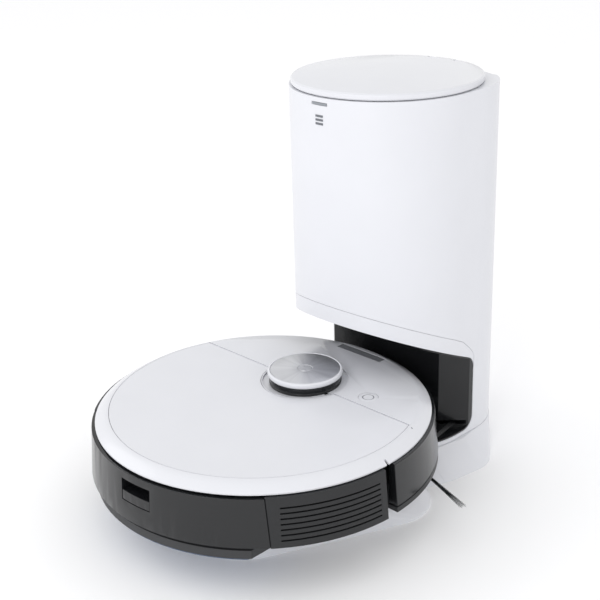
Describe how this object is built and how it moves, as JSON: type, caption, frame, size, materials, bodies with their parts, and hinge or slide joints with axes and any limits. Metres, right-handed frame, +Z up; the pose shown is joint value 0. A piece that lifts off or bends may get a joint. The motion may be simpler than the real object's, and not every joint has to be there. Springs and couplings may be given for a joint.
{
  "type": "robot vacuum with self-emptying station",
  "caption": "Round mopping robot vacuum with a sensor turret, parked on the ramp plate of a tall self-emptying station with a round front and a hinged bag lid.",
  "frame": {"origin": "on the floor, under the upright axis of the docked robot", "axes": "+Z up, +Y from the robot towards the station's tower, +X to the right seen from the robot's side"},
  "size_m": [0.4214, 0.4923, 0.43],
  "materials": {
    "white_gloss": "satin white moulded shell",
    "black_gloss": "glossy black moulding",
    "dark_plastic": "fine-grained dark grey",
    "grey_plastic": "grey moulding",
    "smoke_plastic": "smoked clear",
    "rubber": "soft rubber",
    "tyre_rubber": "treaded rubber",
    "fin_rubber": "orange rubber fins",
    "steel": "turned steel",
    "silver_disc": "spun aluminium",
    "light": "frosted light pipe",
    "print": "printed sign",
    "paper": "fleece bag",
    "pack_blue": "shrink wrap",
    "board": "circuit board",
    "cloth": "microfibre",
    "fibres": "nylon fibres"
  },
  "bodies": {
    "station": {"dock_plate": "white_gloss", "bottom_cover": "dark_plastic", "tower_base": "white_gloss", "tower_shell": "white_gloss", "mouth_trim": "white_gloss", "neck_panel": "black_gloss", "lid_hinge_pin": "steel", "dust_bag": "paper", "bag_collar": "rubber", "suction_motor": "dark_plastic", "dust_duct": "grey_plastic", "port_seal": "rubber", "charge_contacts": "steel", "light_bar": "light", "bag_symbol": "print", "grip_pads": "rubber", "power_inlet": "black_gloss"},
    "bag_lid": {"station_lid": "white_gloss"},
    "robot": {"chassis": "dark_plastic", "top_shell": "white_gloss", "inner_deck": "grey_plastic", "hinge_pins": "steel", "grille_right": "black_gloss", "grille_left": "black_gloss", "turret_window": "black_gloss", "turret_cap": "white_gloss", "cap_disc": "silver_disc", "front_window": "grey_plastic", "dust_bin": "smoke_plastic", "bin_filter": "paper", "blower_fan": "dark_plastic", "battery": "pack_blue", "battery_door": "dark_plastic", "main_board": "board", "brush_guard": "grey_plastic", "cliff_sensors": "dark_plastic", "charge_pads": "steel"},
    "turret": {"turret_drum": "dark_plastic"},
    "button": {"power_button": "white_gloss"},
    "top_lid": {"robot_lid": "white_gloss"},
    "bumper": {"bumper_shell": "black_gloss", "bumper_strip": "dark_plastic"},
    "tank": {"water_tank": "black_gloss", "fill_plug": "dark_plastic", "mop_plate": "dark_plastic", "mop_pad": "cloth"},
    "latch": {"tank_latch": "black_gloss"},
    "arm_right": {"wheel_arm_right": "grey_plastic"},
    "arm_left": {"wheel_arm_left": "grey_plastic"},
    "wheel_right": {"wheel_hub_right": "grey_plastic", "tyre_right": "tyre_rubber"},
    "wheel_left": {"wheel_hub_left": "grey_plastic", "tyre_left": "tyre_rubber"},
    "caster": {"caster_fork": "grey_plastic"},
    "caster_roller": {"caster_wheel": "rubber"},
    "brush": {"main_brush": "fin_rubber"},
    "sweeper_right": {"side_brush_right": "grey_plastic", "bristles_right": "fibres"},
    "sweeper_left": {"side_brush_left": "grey_plastic", "bristles_left": "fibres"}
  },
  "joints": [
    {"name": "robot_drive_out", "type": "slide", "parent": "station", "child": "robot", "axis": [0, -1, 0], "range_m": [0, 0.36]},
    {"name": "bag_lid_open", "type": "hinge", "parent": "station", "child": "bag_lid", "pos_m": [0, 0.298, 0.4264], "axis": [-1, 0, 0], "range_deg": [0, 85]},
    {"name": "turret_spin", "type": "hinge", "parent": "robot", "child": "turret", "pos_m": [0, 0.063, 0.1165], "axis": [0, 0, 1], "continuous": true},
    {"name": "power_press", "type": "slide", "parent": "robot", "child": "button", "axis": [0, 0, -1], "range_m": [0, 0.0012], "stiffness_N_per_m": 500, "springref_m": -0.001},
    {"name": "top_lid_open", "type": "hinge", "parent": "robot", "child": "top_lid", "pos_m": [0, 0.056, 0.1166], "axis": [-1, 0, 0], "range_deg": [0, 70]},
    {"name": "bumper_press", "type": "slide", "parent": "robot", "child": "bumper", "axis": [0, -1, 0], "range_m": [0, 0.004], "stiffness_N_per_m": 400, "springref_m": -0.004},
    {"name": "tank_slide", "type": "slide", "parent": "robot", "child": "tank", "axis": [0, -1, 0], "range_m": [0, 0.09]},
    {"name": "latch_press", "type": "slide", "parent": "tank", "child": "latch", "axis": [0, 0, 1], "range_m": [0, 0.004], "stiffness_N_per_m": 300, "springref_m": -0.002},
    {"name": "suspension_right", "type": "hinge", "parent": "robot", "child": "arm_right", "pos_m": [0.09, 0.054, 0.072], "axis": [-1, 0, 0], "range_deg": [0, 7], "stiffness_Nm_per_rad": 2, "springref_deg": -17.19},
    {"name": "wheel_spin_right", "type": "hinge", "parent": "arm_right", "child": "wheel_right", "pos_m": [0.108, 0, 0.071], "axis": [1, 0, 0], "continuous": true},
    {"name": "side_brush_spin_right", "type": "hinge", "parent": "robot", "child": "sweeper_right", "pos_m": [0.11, 0.108, 0.05], "axis": [0, 0, 1], "continuous": true, "deforming": ["bristles_right"]},
    {"name": "suspension_left", "type": "hinge", "parent": "robot", "child": "arm_left", "pos_m": [-0.09, 0.054, 0.072], "axis": [-1, 0, 0], "range_deg": [0, 7], "stiffness_Nm_per_rad": 2, "springref_deg": -17.19},
    {"name": "wheel_spin_left", "type": "hinge", "parent": "arm_left", "child": "wheel_left", "pos_m": [-0.108, 0, 0.071], "axis": [1, 0, 0], "continuous": true},
    {"name": "side_brush_spin_left", "type": "hinge", "parent": "robot", "child": "sweeper_left", "pos_m": [-0.11, 0.108, 0.05], "axis": [0, 0, -1], "continuous": true, "deforming": ["bristles_left"]},
    {"name": "caster_swivel", "type": "hinge", "parent": "robot", "child": "caster", "pos_m": [0, 0.128, 0.06], "axis": [0, 0, 1], "continuous": true},
    {"name": "caster_roll", "type": "hinge", "parent": "caster", "child": "caster_roller", "pos_m": [0, 0.123, 0.0486], "axis": [1, 0, 0], "continuous": true},
    {"name": "main_brush_spin", "type": "hinge", "parent": "robot", "child": "brush", "pos_m": [0, 0.06, 0.0595], "axis": [1, 0, 0], "continuous": true}
  ]
}
